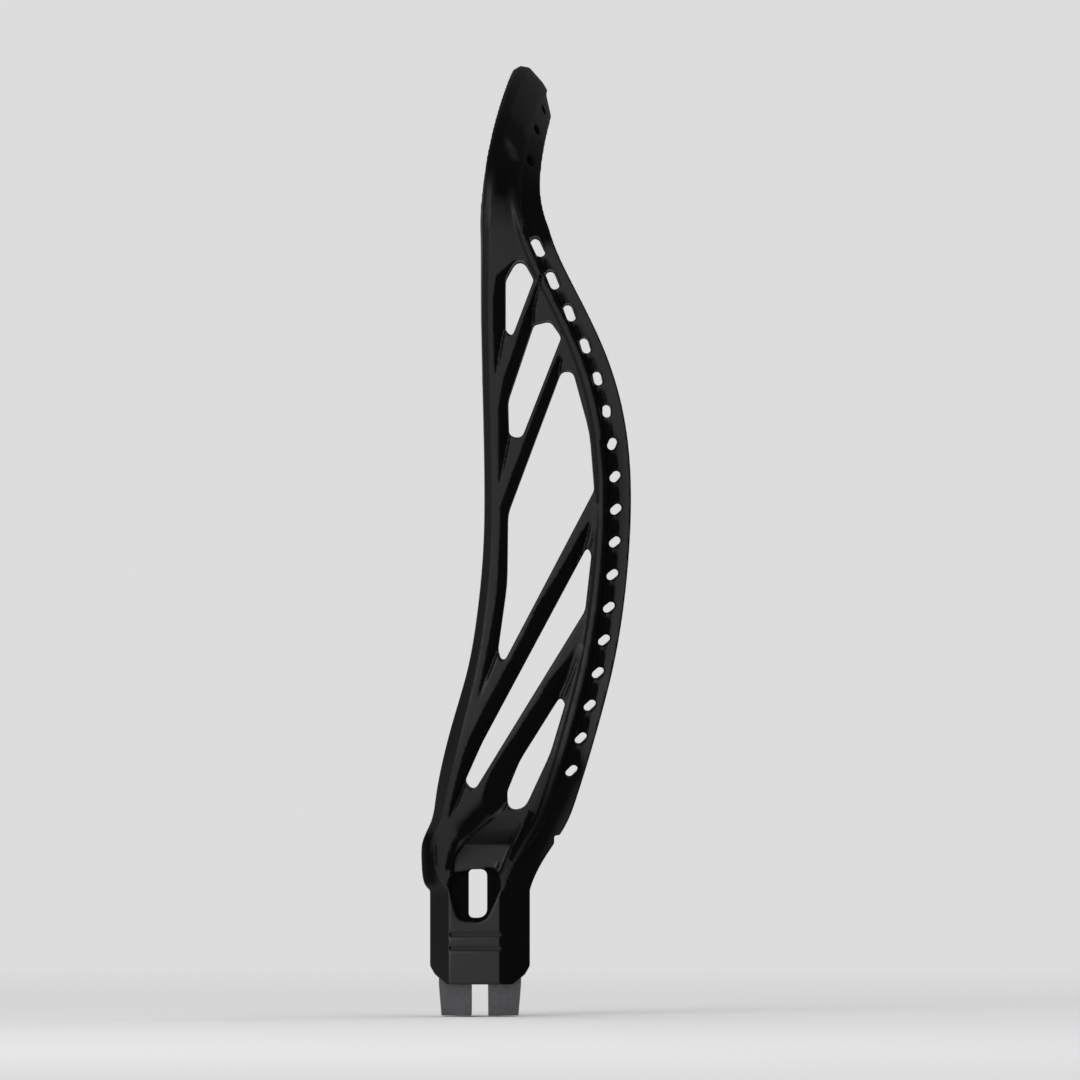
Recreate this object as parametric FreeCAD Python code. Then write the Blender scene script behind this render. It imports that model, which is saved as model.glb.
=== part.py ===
"""Field lacrosse head, unstrung: open lattice sidewalls, scoop, throat, shaft socket and lock sleeve.

Frame: the origin is the centre of the socket's mouth, on the shaft's axis. +Z runs up the shaft's axis
towards the scoop, -X is the open face of the head, +X is the pocket side with the string holes, and
Y runs across the head. Lengths are in millimetres.

The moulding is one piece of nylon in the real head. It is divided here at flat joint planes into the
scoop, two sidewalls, the throat and the collar, which meet face to face.
"""
import FreeCAD, Part
import math
import os

os.makedirs("parts", exist_ok=True)
V = FreeCAD.Vector

# ---- shaft and the parts that hold it ----
shaft_width = 25.4          # 1 inch shaft, across X
shaft_depth = 23.0          # across Y
shaft_corner = 6.6          # corner flat of the eight-sided shaft, along each side
shaft_clearance = 0.15      # round the shaft, each side
sleeve_wall = 1.55
sleeve_clearance = 0.08     # between sleeve and socket, each side
sleeve_top = 10.0           # upper end of the sleeve, as delivered
sleeve_travel = 10.0        # push from the delivered place to the shoulder
sleeve_stop_gap = 0.3       # left at the shoulder when the sleeve is home
finger_drop = 11.0          # how far the fingers stand out of the mouth
finger_slot = 5.7           # width of the slots between fingers
finger_slot_top = 4.0       # top of the slots
finger_taper = 0.9          # the fingers draw in by this much at their ends

# ---- collar and throat ----
socket_wall = 3.0
collar_top = 20.0           # joint plane between collar and throat
front_flat_cut = 6.6        # corner flats of the collar on the face side, along X
back_flat_cut = 10.4        # the larger ones on the pocket side
side_flat_cut = 6.2         # corner flats along Y
mouth_cut = [(0.0, 6.5), (1.7, 3.5), (5.9, 0.0)]  # corners of the mouth: depth from the side, and height
groove_heights = (12.6, 17.5)
groove_width = 1.4
groove_depth = 0.7
groove_start = -10.9
groove_end = 8.1
screw_radius = 2.1
screw_height = 26.2
screw_sink_radius = 3.6
screw_sink_depth = 1.0
screw_sink_sides = 12

# ---- throat window and slot, one each side ----
window_depth = 3.2
window_outline = [(-11.2, 35.0, 4.0), (-7.6, 22.6, 4.0), (1.6, 21.4, 5.0), (7.6, 34.5, 6.0),
                  (5.6, 41.2, 3.0), (-9.6, 39.0, 2.5)]
slot_start = -3.9
slot_end = 2.5
slot_bottom = 23.1
slot_top = 40.3
slot_corners = (1.2, 1.2, 4.5, 2.0)  # face side top and bottom, then pocket side bottom and top

# ---- ball stop ----
stop_height = 49.0          # lowest point of the curved stop
stop_radius = 38.0          # a ball of 31.5 mm radius rests in it
stop_wall = 3.4
stop_floor = 4.6            # solid left between the stop's plate and the end of the bore
stop_side = [(-15.6, 6.0), (-18.0, 2.5), (-18.2, -9.0), (18.2, -9.0), (20.8, -3.0), (24.0, 3.0),
             (25.6, 6.0)]  # its outline from the side, as X and the rise above stop_height
tube_top = stop_height - 1  # the socket's tube runs into the ball stop here
bore_top = stop_height - stop_wall - stop_floor  # where the shaft's end stops
pad_start = -11.0           # edge of the pad towards the face
pad_thickness = 5.0
pad_width = 24.0
pad_angle = 38.0            # half the arc that the pad covers, degrees
pad_gap = 0.3

# ---- joint planes of the long moulding ----
wall_foot = 33.0
foot_top = 52.0             # the legs' corners turn into the socket's corner flats below this
throat_rise = 9.0
throat_top = stop_height + throat_rise
shoulder_height = 264.0
plain_shoulder = 264.0      # the tables below are given for this height, and stretch with the real one
plain_throat_top = 58.0
far = 200.0                 # cutters and dividing blocks reach this far, which is outside the head

# ---- section of the sidewall ----
face_chamfer = [(58, 3.4), (84, 4.2), (110, 3.1), (155, 2.6), (264, 2.1)]  # (height, width)
face_chamfer_slope = 0.74
web_saving = 0.4            # the pocket edge is thinner than the face edge by this
strip_width = 8.8           # string strip outside the ridge
ridge_width = 2.4
ridge_height = 1.1
ridge_slope = 1.2
strip_recess = 1.7          # beside the ridge
strip_edge_recess = 0.7     # at the pocket edge

# ---- long edges: (height, X) of the face edge and of the pocket edge ----
face_edge = [(20, -17.5), (33, -17.6), (37, -19.9), (50, -20.0), (56, -17.3), (68, -14.9), (82, -12.1),
             (96, -8.2), (110, -4.2), (124, -1.6), (138, 0.2), (155, 1.5), (180, 1.8), (208, 1.3),
             (232, 1.0), (250, 1.2), (264, 1.4), (271, 1.8)]
pocket_edge = [(20, 17.5), (33, 17.5), (40, 20.4), (47, 24.2), (54, 29.2), (68, 34.7), (82, 38.9),
               (96, 42.9), (110, 46.4), (131, 50.1), (152, 52.2), (170, 52.9), (187, 52.0), (201, 49.9),
               (215, 46.0), (229, 40.4), (243, 33.3), (257, 27.1), (264, 24.4), (271, 22.4)]

# ---- half width: (height, Y) of the outer face at the face edge, and how much the pocket edge leans in ----
half_width = [(20, 16.3), (33, 16.4), (40, 18.2), (46, 21.6), (52, 25.8), (58, 30.4), (66, 36.6), (78, 41.8),
              (92, 43.9), (110, 45.0), (130, 46.6), (150, 49.6), (170, 54.2), (190, 60.2), (210, 67.2),
              (230, 74.4), (248, 79.8), (264, 83.0), (278, 82.0)]
lean_in = [(20, 0.0), (40, 0.2), (66, 1.0), (110, 2.0), (170, 3.0), (230, 5.0), (264, 6.5), (278, 8.0)]
leg_thickness = [(20, 8.0), (46, 7.5), (58, 5.6), (66, 5.0), (300, 5.0)]
wall_stations = [33, 37, 43, 50, 57, 66, 78, 93, 110, 130, 152, 176, 200, 222, 244, 264]
strip_end = 52.2            # the string strip stops here with a step
strip_step = 2.1

# ---- scoop: X, Y and rise above the shoulder of its face edge and of its pocket edge, to the middle ----
scoop_face = [(2.5, 81.2, 14.0), (5.0, 73.0, 28.5), (8.6, 56.0, 42.0), (12.4, 30.0, 53.0), (14.6, 0.0, 57.6)]
scoop_pocket = [(21.6, 72.8, 10.5), (21.4, 63.5, 19.5), (22.6, 48.0, 29.0), (24.3, 26.0, 36.5),
                (25.0, 0.0, 39.5)]
scoop_thickness = 3.6
scoop_sections = 13
scoop_lead = 14.0           # the edges are followed from this far below the shoulder
ridge_end = 1.6             # the ridge fades out over this many of the scoop's steps
ridge_rest = 0.1            # what is left of it after that
scoop_crown = 3.3           # the blade is arched this much in the middle of the scoop
crown_lip = 0.33            # shares of the arch at the face edge, inside its chamfer and beside the strip
crown_start = 0.6
crown_fall = 0.75

# ---- windows of each sidewall: corners as (X, Z, corner radius) ----
windows = [
    [(9.0, 246.5, 4.0), (14.0, 255.5, 2.5), (19.0, 246.5, 3.0), (11.2, 225.8, 1.5), (9.0, 228.5, 1.5)],
    [(18.9, 230.8, 1.2), (24.6, 232.2, 2.0), (28.6, 226.5, 2.5), (14.6, 190.8, 2.2), (10.2, 191.6, 2.2),
     (9.9, 204.0, 6.0)],
    [(28.6, 214.5, 2.0), (32.6, 214.4, 1.8), (38.4, 193.0, 45.0), (40.0, 172.8, 3.0), (7.8, 111.5, 2.0),
     (6.4, 117.0, 3.0), (9.6, 140.0, 60.0), (9.9, 164.5, 12.0)],
    [(37.6, 153.2, 1.5), (39.0, 150.2, 1.4), (36.8, 130.6, 4.0), (-2.2, 67.2, 1.6), (-5.3, 70.8, 2.0),
     (0.8, 84.5, 30.0)],
    [(28.2, 101.0, 1.2), (29.8, 98.0, 1.5), (24.6, 80.5, 40.0), (15.6, 61.2, 4.5), (9.8, 60.7, 2.5),
     (9.6, 67.5, 5.0), (13.9, 78.2, 30.0)],
]

# ---- sloping reliefs beside the windows: pairs of the deep edge and the shallow edge, as (X, Z) ----
relief_depth = 2.6
relief_lift = 0.05          # the shallow edge starts this far outside the face
reliefs = [
    [((14.0, 254.0), (12.0, 258.6)), ((9.3, 246.0), (5.9, 247.4)), ((9.2, 238.0), (4.9, 240.0)),
     ((9.2, 230.0), (5.0, 226.0)), ((6.0, 212.5), (5.4, 212.0))],
    [((21.9, 247.4), (21.3, 248.0)), ((19.2, 236.0), (17.3, 236.8)), ((18.9, 231.0), (15.4, 232.2)),
     ((16.3, 222.0), (12.5, 223.2)), ((12.2, 210.5), (8.5, 211.8)),
     ((10.6, 200.0), (6.6, 201.5)), ((10.9, 193.0), (6.6, 188.0)), ((7.6, 175.5), (6.6, 174.5))],
    [((28.8, 220.8), (28.4, 221.2)), ((28.5, 216.8), (26.6, 217.6)), ((27.9, 212.6), (24.6, 212.9)),
     ((21.2, 193.5), (17.0, 193.5)), ((15.4, 178.0), (11.2, 178.0)),
     ((11.2, 167.0), (7.2, 167.0)), ((10.0, 150.0), (6.9, 152.0)), ((9.4, 135.0), (6.2, 138.0)),
     ((7.3, 118.5), (3.6, 122.0)), ((0.0, 100.4), (-0.8, 99.6))],
    [((39.2, 162.4), (38.8, 163.2)), ((37.9, 156.4), (35.6, 158.2)), ((36.4, 151.2), (32.6, 152.8)),
     ((25.2, 129.0), (19.6, 131.8)), ((10.2, 100.2), (4.8, 103.0)),
     ((1.0, 86.0), (-3.2, 86.8)), ((-3.4, 75.0), (-6.9, 75.6)), ((-5.2, 69.4), (-8.6, 69.0)),
     ((-7.4, 64.0), (-9.8, 64.4)), ((-10.5, 57.4), (-11.0, 57.0))],
    [((35.2, 118.2), (34.0, 120.2)), ((31.0, 106.4), (24.4, 106.8)), ((27.8, 99.2), (20.4, 100.0)),
     ((19.5, 86.8), (12.6, 87.6)), ((11.5, 72.4), (3.6, 73.6)), ((9.8, 64.0), (0.8, 64.8)),
     ((7.8, 60.0), (3.6, 58.4))],
]
throat_opening = [(16.6, 61.4, 1.5), (6.7, 38.2, 0.5), (-10.1, 38.2, 0.5), (-9.4, 44.6, 6.0),
                  (-4.6, 51.1, 8.0), (8.4, 61.4, 1.5)]  # between the legs, down to the ball stop

# ---- string holes ----
string_top = 257.6
string_pitch = 11.43
string_count = 17
string_inset = [(74, 4.8), (130, 5.1), (190, 5.6), (258, 6.6)]
string_length = [(74, 4.9), (195, 4.6), (225, 6.0), (247, 7.4), (258, 7.7)]
string_width = [(74, 2.8), (190, 2.9), (258, 3.5)]
string_tilt = [(74, 45), (168, 50), (191, 20), (206, -8), (258, -25)]
string_corner = 0.6         # share of half the slot's width that is cut off each corner
string_reach = 12.0         # the slots are cut this deep, which is more than the wall
scoop_hole_length = 4.6
scoop_hole_width = 2.9
scoop_hole_inset = 5.2
scoop_hole_steps = (2.15, 3.2, 4.1)
corner_error = 0.1          # rounded corners are made of flats that lie this close to the arc


def stretched(z):
    """Height in the head of a height given in the tables: the lattice stretches up to the shoulder."""
    rise = max(0.0, z - plain_throat_top)
    return z + rise * (shoulder_height - plain_shoulder) / (plain_shoulder - plain_throat_top)


def along(table, height):
    """Smooth value at a height, from a short table of (height, value)."""
    rows = [(stretched(z), value) for z, value in table]
    last = len(rows) - 1
    k = max(0, min(last - 1, sum(1 for row in rows if row[0] <= height) - 1))
    before, low, high, after = rows[max(k - 1, 0)], rows[k], rows[k + 1], rows[min(k + 2, last)]
    span = high[0] - low[0]
    t = (height - low[0]) / span
    low_slope = (high[1] - before[1]) / (high[0] - before[0]) * span
    high_slope = (after[1] - low[1]) / (after[0] - low[0]) * span
    return (low[1] * (1 + 2 * t) * (1 - t) ** 2 + low_slope * t * (1 - t) ** 2
            + high[1] * t * t * (3 - 2 * t) + high_slope * t * t * (t - 1))


def outer_y(x, z):
    """Y of the sidewall's outer plane at a point of its side view."""
    share = (x - along(face_edge, z)) / (along(pocket_edge, z) - along(face_edge, z))
    return along(half_width, z) - share * along(lean_in, z)


def corner_flats(here, back, ahead, radius):
    """Points round one corner of an outline, from the corner and the directions to its neighbours."""
    half_angle = back.getAngle(ahead) / 2
    reach = min(radius / math.tan(half_angle), 0.48 * back.Length, 0.48 * ahead.Length)
    rounding = reach * math.tan(half_angle)
    centre = here + (V(back).normalize() + V(ahead).normalize()).normalize() * (reach / math.cos(half_angle))
    start = here + V(back).normalize() * reach - centre
    end = here + V(ahead).normalize() * reach - centre
    turn = math.pi - 2 * half_angle
    flats = math.ceil(turn / (2 * math.acos(1 - corner_error / max(rounding, 2 * corner_error))))
    shares = [k / flats for k in range(flats + 1)]
    return [centre + (start * math.sin((1 - t) * turn) + end * math.sin(t * turn)) * (1 / math.sin(turn))
            for t in shares]


def rounded_face(corners, y):
    """Flat face in the XZ plane at a given Y, from corners (x, z, radius)."""
    ring = []
    places = [V(x, y, z) for x, z, radius in corners]
    for k, here in enumerate(places):
        ahead = places[(k + 1) % len(places)] - here
        ring += corner_flats(here, places[k - 1] - here, ahead, corners[k][2])
    return Part.Face(Part.makePolygon(ring + ring[:1]))


def prism(corners, y_from, y_to):
    """Solid with rounded corners, extruded across the head."""
    return rounded_face(corners, y_from).extrude(V(0, y_to - y_from, 0))


def octagon(half_x, half_y, front_cut, back_cut, side_cut, z_from, z_to):
    """Eight-sided prism about the shaft's axis, with its own corner flats front and back."""
    side = [(-half_x, half_y - side_cut), (-half_x + front_cut, half_y),
            (half_x - back_cut, half_y), (half_x, half_y - side_cut)]
    ring = side + [(x, -y) for x, y in reversed(side)]
    points = [V(x, y, z_from) for x, y in ring]
    return Part.Face(Part.makePolygon(points + points[:1])).extrude(V(0, 0, z_to - z_from))


def shaft_space(extra, z_from, z_to):
    """The eight-sided space for the shaft, made larger by a margin on every side."""
    corner = shaft_corner + extra * (2 - math.sqrt(2))
    return octagon(shaft_width / 2 + extra, shaft_depth / 2 + extra, corner, corner, corner, z_from, z_to)


def between(start, end, share):
    """Value at a share of the way from one value to another."""
    return start + (end - start) * share


def outside_chain(length, chamfer_width, fade, foot, crown):
    """Outside of the moulding's section as (run, depth): chamfer, web, ridge and string strip.

    foot turns the chamfer and the strip into the socket's corner flats, and crown arches the web.
    """
    strip = length - strip_width
    chamfer = between(chamfer_width * face_chamfer_slope, side_flat_cut, foot)
    beside_ridge = between(strip_recess * fade, side_flat_cut * ridge_slope / strip_width, foot)
    return [(0, chamfer - crown * crown_lip),
            (between(chamfer_width, front_flat_cut, foot), -crown * crown_start),
            (strip - ridge_width - ridge_slope, -crown),
            (strip - ridge_width, -ridge_height * fade - crown),
            (strip, -ridge_height * fade - crown),
            (strip + ridge_slope, beside_ridge - crown * crown_fall),
            (length, between(strip_edge_recess * fade, side_flat_cut, foot))]


def wall_section(face, pocket, travel, chain, thickness):
    """Closed wire across the moulding, from its outside and its thickness at the two edges."""
    run = pocket - face
    u = V(run).normalize()
    inward = u.cross(travel).normalize()
    whole = chain + [(run.Length, thickness[1]), (0, thickness[0])]
    points = [face + u * along_run + inward * depth for along_run, depth in whole]
    return Part.makePolygon(points + points[:1])


def sidewall_band():
    """The whole band on the +Y side, from the socket to the shoulder."""
    wires = []
    for station in wall_stations:
        z = stretched(station)
        face = V(along(face_edge, z), along(half_width, z), z)
        pocket = V(along(pocket_edge, z), along(half_width, z) - along(lean_in, z), z)
        thickness = along(leg_thickness, z)
        foot = max(0.0, (foot_top - z) / (foot_top - wall_foot)) ** 2
        chain = outside_chain((pocket - face).Length, along(face_chamfer, z), 1 - foot, foot, 0.0)
        wires.append(wall_section(face, pocket, V(0, 0, 1), chain, (thickness, thickness - web_saving)))
    return Part.makeLoft(wires, True, False)


def faceted_solid(rings):
    """Closed solid of flat faces through a row of four-sided rings."""
    corners = [rings[0] + rings[0][:1], rings[-1] + rings[-1][:1]]
    for a, b in zip(rings, rings[1:]):
        for k in range(4):
            n = (k + 1) % 4
            corners += [[a[k], a[n], b[n], a[k]], [a[k], b[n], b[k], a[k]]]
    shell = Part.makeShell([Part.Face(Part.makePolygon(points)) for points in corners])
    shell.sewShape()
    solid = Part.makeSolid(shell)
    if solid.Volume < 0:
        solid.reverse()
    return solid


def facet_cutter(pairs, deep, shallow):
    """Wedge that slopes from a deep edge to a shallow edge along the outer face."""
    rings = []
    count = len(pairs)
    for k in range(count):
        (px, pz), (qx, qz) = pairs[k]
        pz = stretched(pz)
        qz = stretched(qz)
        end = 0.15 if k in (0, count - 1) else 1.0
        p = V(px, outer_y(px, pz), pz)
        q = V(qx, outer_y(qx, qz), qz)
        out = V(0, relief_depth, 0)
        rings.append([p - V(0, deep * end, 0), q - V(0, shallow * end, 0), q + out, p + out])
    return faceted_solid(rings)


def slot_ring(half_length, half_width_of_slot, corner):
    """Corners of a slot with its corners cut off, as (along, across)."""
    a, b = half_length, half_width_of_slot
    right = [(a, corner - b), (a, b - corner), (a - corner, b), (corner - a, b)]
    return right + [(-x, -y) for x, y in right]


def string_hole_cutter(z):
    """Tilted slot through the string strip."""
    half = along(string_length, z) / 2
    r = along(string_width, z) / 2
    x = along(pocket_edge, z) - along(string_inset, z)
    tilt = math.radians(along(string_tilt, z))
    dx, dz = math.sin(tilt), math.cos(tilt)
    y = outer_y(x, z) - string_reach
    ring = slot_ring(half, r, string_corner * r)
    points = [V(x + a * dx - b * dz, y, z + a * dz + b * dx) for a, b in ring]
    return Part.Face(Part.makePolygon(points + points[:1])).extrude(V(0, 1.5 * string_reach, 0))


def long_sidewall():
    """The +Y band with its windows, facets, string holes and the step at the strip's end."""
    band = sidewall_band()
    step = V(along(pocket_edge, strip_end) - strip_step, 0, -far)
    cutters = [prism([(x, stretched(z), r) for x, z, r in outline], shaft_depth, far) for outline in windows]
    cutters += [facet_cutter(pairs, relief_depth, -relief_lift) for pairs in reliefs]
    below_stop = prism(throat_opening, socket_half(socket_wall)[1], far)
    cutters.append(below_stop.cut(stop_cylinder(stop_radius + stop_wall, -far, 2 * far)))
    cutters += [string_hole_cutter(stretched(string_top - k * string_pitch)) for k in range(string_count)]
    for cutter in cutters:
        band = band.cut(cutter)
    return band.cut(Part.makeBox(far, far, strip_end + far, step))


def slab(z_from, z_to):
    """Large block between two heights, to divide the moulding at a joint plane."""
    return Part.makeBox(2 * far, 2 * far, z_to - z_from, V(-far, -far, z_from))


def mirrored(shape):
    """The same piece on the other side of the head."""
    return shape.mirror(V(0, 0, 0), V(0, 1, 0))


def edge_point(table, z, lean):
    """Point of a long edge of the +Y sidewall at a height."""
    return V(along(table, z), along(half_width, z) - lean * along(lean_in, z), z)


def scoop_edge(points, table, lean):
    """Smooth edge over the top of the head, from one shoulder to the other."""
    half = [edge_point(table, shoulder_height - scoop_lead, lean), edge_point(table, shoulder_height, lean)]
    half += [V(x, y, shoulder_height + rise) for x, y, rise in points]
    whole = half + [V(p.x, -p.y, p.z) for p in reversed(half[:-1])]
    curve = Part.BSplineCurve()
    curve.interpolate(Points=whole, Parameters=[float(k) for k in range(len(whole))])
    return curve


def scoop_frame(step):
    """Face point, pocket point and travel direction at a step, counted from the +Y shoulder."""
    face_curve = scoop_edge(scoop_face, face_edge, 0.0)
    pocket_curve = scoop_edge(scoop_pocket, pocket_edge, 1.0)
    at = step + 1.0
    travel = face_curve.tangent(at)[0] + pocket_curve.tangent(at)[0]
    if step == 0:
        travel = V(0, 0, 1)
    if step == 2 * len(scoop_face):
        travel = V(0, 0, -1)
    return face_curve.value(at), pocket_curve.value(at), travel


def make_scoop():
    """Twisted blade over the top, with string holes along its pocket edge."""
    last = len(scoop_face)
    steps = [2 * last * k / (scoop_sections - 1) for k in range(scoop_sections)]
    wires = []
    for step in steps:
        face, pocket, travel = scoop_frame(step)
        reach = min(step, 2 * last - step)
        fade = max(ridge_rest, 1 - reach / ridge_end * (1 - ridge_rest))
        blend = min(1.0, reach / ridge_end)
        crown = scoop_crown * (reach / last) ** 2
        chain = outside_chain((pocket - face).Length, along(face_chamfer, shoulder_height), fade, 0.0, crown)
        rail = along(leg_thickness, shoulder_height)
        thickness = rail + (scoop_thickness - rail) * blend
        saving = web_saving * (1 - blend)
        wires.append(wall_section(face, pocket, travel, chain, (thickness, thickness - saving)))
    blade = Part.makeLoft(wires, True, False)
    for step in scoop_hole_steps:
        for place in (step, 2 * last - step):
            face, pocket, travel = scoop_frame(place)
            run = (pocket - face).normalize()
            inward = run.cross(travel).normalize()
            across = inward.cross(run)
            centre = pocket - run * scoop_hole_inset - inward * 4
            half = scoop_hole_width / 2
            ring = slot_ring(scoop_hole_length / 2, half, string_corner * half)
            points = [centre + across * a + run * b for a, b in ring]
            hole = Part.Face(Part.makePolygon(points + points[:1])).extrude(inward * string_reach)
            blade = blade.cut(hole)
    return blade


def socket_half(extra):
    """Half sizes of the socket, outside the shaft by its clearances and the sleeve."""
    margin = shaft_clearance + sleeve_wall + sleeve_clearance + extra
    return shaft_width / 2 + margin, shaft_depth / 2 + margin


def socket_block(z_from, z_to):
    """Outside of the eight-sided socket."""
    half_x, half_y = socket_half(socket_wall)
    return octagon(half_x, half_y, front_flat_cut, back_flat_cut, side_flat_cut, z_from, z_to)


def socket_bore():
    """Space for the shaft, and the wider space for the sleeve below the shoulder."""
    narrow = shaft_space(shaft_clearance, -far, bore_top)
    shoulder = sleeve_top + sleeve_travel + sleeve_stop_gap
    wide = shaft_space(shaft_clearance + sleeve_wall + sleeve_clearance, -far, shoulder)
    return narrow.fuse(wide)


def make_collar():
    """Mouth of the socket: corner flats, raised corners at the mouth and two grooves on each side."""
    half_x, half_y = socket_half(socket_wall)
    collar = socket_block(0, collar_top)
    for sign in (-1, 1):
        corner = [V(sign * (half_x - depth), -far, height) for depth, height in mouth_cut]
        corner += [V(corner[-1].x, -far, -far), V(sign * far, -far, -far), V(sign * far, -far, corner[0].z)]
        collar = collar.cut(Part.Face(Part.makePolygon(corner + corner[:1])).extrude(V(0, 2 * far, 0)))
        for height in groove_heights:
            start = half_y - groove_depth if sign > 0 else groove_depth - half_y - far
            corner = V(groove_start, start, height - groove_width / 2)
            collar = collar.cut(Part.makeBox(groove_end - groove_start, far, groove_width, corner))
    return collar.cut(socket_bore())


def stop_cylinder(radius, start, length):
    """Cylinder across the head's depth, about the centre of the ball stop's curve."""
    return Part.makeCylinder(radius, length, V(start, 0, stop_height + stop_radius), V(1, 0, 0))


def ball_stop():
    """Curved plate between the two legs, on which the ball comes to rest."""
    points = [V(x, -far, stop_height + rise) for x, rise in stop_side]
    side = Part.Face(Part.makePolygon(points + points[:1])).extrude(V(0, 2 * far, 0))
    return side.common(stop_cylinder(stop_radius + stop_wall, -far, 2 * far))


def screw_seat(x):
    """Many-sided space for the screw's head, outwards from its floor."""
    turns = [2 * math.pi * k / screw_sink_sides for k in range(screw_sink_sides)]
    points = [V(x, screw_sink_radius * math.sin(turn), screw_height + screw_sink_radius * math.cos(turn))
              for turn in turns]
    return Part.Face(Part.makePolygon(points + points[:1])).extrude(V(far, 0, 0))


def make_throat(walls):
    """Two legs, the ball stop and the upper socket with its side windows and screw hole."""
    half_x, half_y = socket_half(socket_wall)
    throat = socket_block(collar_top, tube_top).fuse(ball_stop())
    for wall in walls:
        throat = throat.fuse(wall.common(slab(wall_foot - 1, throat_top)))
    throat = throat.cut(stop_cylinder(stop_radius, -far, 2 * far))
    throat = throat.cut(socket_bore())
    floor = half_y - window_depth
    recess = prism(window_outline, floor, far)
    slot_places = [(slot_start, slot_top), (slot_start, slot_bottom), (slot_end, slot_bottom),
                   (slot_end, slot_top)]
    slot = [(x, z, radius) for (x, z), radius in zip(slot_places, slot_corners)]
    throat = throat.cut(recess)
    throat = throat.cut(mirrored(recess))
    throat = throat.cut(prism(slot, -far, far))
    hole = Part.makeCylinder(screw_radius, far, V(shaft_width / 4, 0, screw_height), V(1, 0, 0))
    return throat.cut(hole).cut(screw_seat(half_x - screw_sink_depth))


def make_sleeve():
    """Eight-sided lock sleeve, split below into fingers that draw in towards their ends."""
    margin = shaft_clearance + sleeve_wall
    body = shaft_space(margin, 0, sleeve_top)
    wires = []
    for z, extra in ((0, margin), (-finger_drop, margin - finger_taper)):
        ring = shaft_space(extra, z, z + 1)
        bottom = [face for face in ring.Faces if abs(face.BoundBox.ZMax - z) < 0.001][0]
        wires.append(bottom.OuterWire)
    fingers = Part.makeLoft(wires, True, True)
    sleeve = body.fuse(fingers).cut(shaft_space(shaft_clearance, -far, far))
    corner = V(-finger_slot / 2, -far, -far)
    return sleeve.cut(Part.makeBox(finger_slot, 2 * far, far + finger_slot_top, corner))


def make_pad():
    """Soft pad that lies in the curve of the ball stop."""
    radius = stop_radius - pad_gap
    ring = stop_cylinder(radius, pad_start, pad_width)
    ring = ring.cut(stop_cylinder(radius - pad_thickness, pad_start, pad_width))
    reach = radius * math.sin(math.radians(pad_angle))
    box = Part.makeBox(pad_width, 2 * reach, radius, V(pad_start, -reach, stop_height + pad_gap))
    return ring.common(box)


def build():
    """All nodes, by name."""
    left = long_sidewall()
    right = mirrored(left)
    upper = slab(throat_top, shoulder_height)
    return {
        "scoop": make_scoop(),
        "left_sidewall": left.common(upper),
        "right_sidewall": right.common(upper),
        "throat": make_throat((left, right)),
        "collar": make_collar(),
        "lock_sleeve": make_sleeve(),
        "ball_stop_pad": make_pad(),
    }


for node, shape in build().items():
    print(node, "valid", shape.isValid(), "solids", len(shape.Solids), "volume", round(shape.Volume))
    shape.exportStep("parts/" + node + ".step")
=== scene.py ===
"""Looks of an unstrung lacrosse head: softened black moulding, cloudy grey lock sleeve and foam pad.

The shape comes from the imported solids. Positions are in metres, in the frame of the solids: +Z runs up
the shaft, -X is the open face, +X is the pocket side.
"""
import logging
import math
from dataclasses import dataclass, field
from enum import Enum
from typing import Optional, Union

import bpy
import numpy as np
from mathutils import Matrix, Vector


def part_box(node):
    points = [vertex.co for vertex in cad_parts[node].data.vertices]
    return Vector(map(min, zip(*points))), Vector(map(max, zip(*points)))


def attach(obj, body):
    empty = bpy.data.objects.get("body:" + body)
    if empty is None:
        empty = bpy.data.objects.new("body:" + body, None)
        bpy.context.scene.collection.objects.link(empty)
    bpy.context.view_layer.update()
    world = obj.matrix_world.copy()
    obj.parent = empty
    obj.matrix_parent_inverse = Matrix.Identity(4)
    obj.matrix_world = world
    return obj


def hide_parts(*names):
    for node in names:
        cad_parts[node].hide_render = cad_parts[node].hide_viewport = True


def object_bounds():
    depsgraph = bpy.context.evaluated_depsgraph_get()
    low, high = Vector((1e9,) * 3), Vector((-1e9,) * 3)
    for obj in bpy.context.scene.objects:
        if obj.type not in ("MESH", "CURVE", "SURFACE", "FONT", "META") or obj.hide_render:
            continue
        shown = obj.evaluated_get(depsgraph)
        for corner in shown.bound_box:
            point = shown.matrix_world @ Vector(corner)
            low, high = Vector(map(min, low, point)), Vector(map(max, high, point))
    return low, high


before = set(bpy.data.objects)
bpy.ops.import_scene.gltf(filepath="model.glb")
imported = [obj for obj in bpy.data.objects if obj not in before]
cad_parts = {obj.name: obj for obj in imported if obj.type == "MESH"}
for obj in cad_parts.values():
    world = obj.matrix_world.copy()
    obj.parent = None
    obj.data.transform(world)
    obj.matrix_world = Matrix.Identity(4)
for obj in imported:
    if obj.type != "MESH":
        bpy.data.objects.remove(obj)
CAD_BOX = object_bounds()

log = logging.getLogger("lacrosse_head")

Colour = tuple[float, float, float, float]
Line = tuple[tuple[float, float], ...]

NYLON_IOR = 1.53
TO_MM = 1000.0
GRID_CELL = 0.7  # millimetres

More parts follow.
